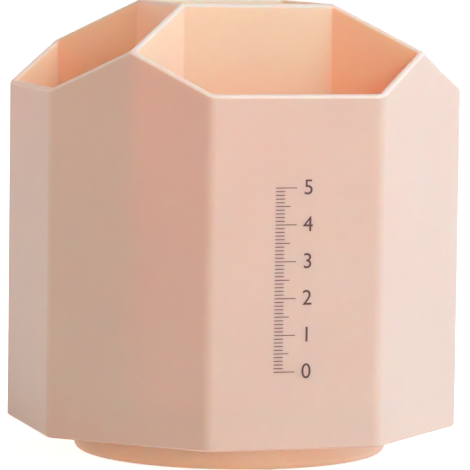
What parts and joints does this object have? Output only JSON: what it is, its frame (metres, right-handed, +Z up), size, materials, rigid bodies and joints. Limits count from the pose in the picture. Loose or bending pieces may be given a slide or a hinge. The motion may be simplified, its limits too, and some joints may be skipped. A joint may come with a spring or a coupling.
{
  "type": "rotating pen holder",
  "caption": "Octagonal desk pen holder with hexagonal outer compartments round a square middle one, rims sloping up to the middle, turning on a round ball-bearing base.",
  "frame": {"origin": "on the table under the middle of the round base, level with the underside of the feet", "axes": "+Z up along the turning axis, -Y out of the front compartment's main face, +X to the right of it"},
  "size_m": [0.12, 0.12, 0.1286],
  "materials": {
    "body_abs": "fine matte moulded ABS, peach",
    "steel": "zinc-plated steel",
    "acetal": "natural acetal",
    "foot_rubber": "matte black rubber",
    "print_ink": "thin film of brown pad-printing ink, for the plain scale on the front face"
  },
  "bodies": {
    "base": {"base_dish": "body_abs", "lower_race": "steel", "hub_bush": "acetal", "base_cover": "body_abs", "cover_screws": "steel", "foot_1": "foot_rubber", "foot_2": "foot_rubber", "foot_3": "foot_rubber", "foot_4": "foot_rubber"},
    "rotor": {"cup_body": "body_abs", "under_plate": "body_abs", "plate_screws": "steel", "upper_race": "steel", "retaining_washer": "steel", "pivot_screw": "steel"},
    "cage": {"ball_cage": "acetal", "bearing_balls": "steel"}
  },
  "joints": [
    {"name": "body_spin", "type": "hinge", "parent": "base", "child": "rotor", "pos_m": [0, 0, 0], "axis": [0, 0, 1], "continuous": true},
    {"name": "cage_spin", "type": "hinge", "parent": "base", "child": "cage", "pos_m": [0, 0, 0], "axis": [0, 0, 1], "continuous": true}
  ],
  "couplings": [
    {"joint": "cage_spin", "follows": "body_spin", "ratio": 0.5}
  ]
}
